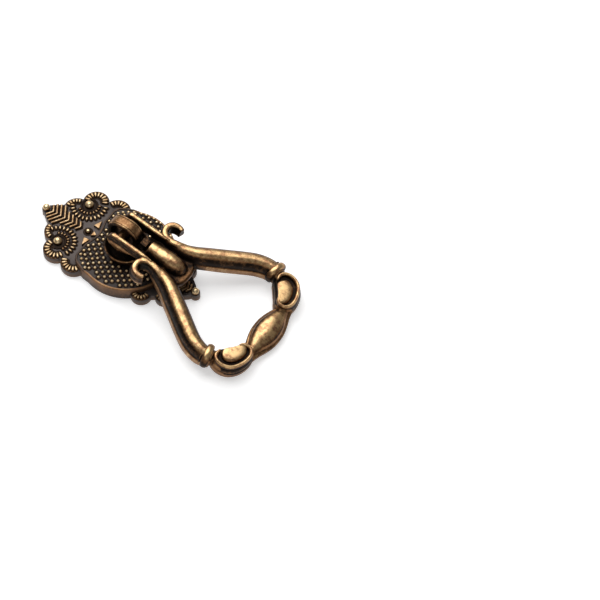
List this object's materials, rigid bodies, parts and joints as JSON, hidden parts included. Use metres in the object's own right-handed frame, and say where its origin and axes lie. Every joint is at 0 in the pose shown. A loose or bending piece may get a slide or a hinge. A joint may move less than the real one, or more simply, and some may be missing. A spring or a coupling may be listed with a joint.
{
  "type": "drop handle",
  "caption": "Antique brass drop handle with an ornate cast backplate, an arched post and a swinging stirrup bail with scrolls, collars and a barrel grip.",
  "frame": {"origin": "on the fixing screw's axis, in the plane of the backplate's back face", "axes": "+Z away from the drawer front or door, +Y along the backplate to its crested head, +X across, along the pivot pin"},
  "size_m": [0.0408, 0.082, 0.018],
  "materials": {
    "aged_brass_plate": "antique brass, dark in the hollows and rubbed bright on the high spots",
    "aged_brass_post": "antique brass, satin",
    "aged_brass_bail": "antique brass, satin and rubbed bright",
    "pin_steel": "bronzed steel, satin"
  },
  "bodies": {
    "fixed": {"backplate": "aged_brass_plate", "post": "aged_brass_post"},
    "swing": {"bail": "aged_brass_bail", "pivot_pin": "pin_steel"}
  },
  "joints": [
    {"name": "bail_swing", "type": "hinge", "parent": "fixed", "child": "swing", "pos_m": [0, 0, 0.0132], "axis": [-1, 0, 0], "range_deg": [0, 200]}
  ]
}
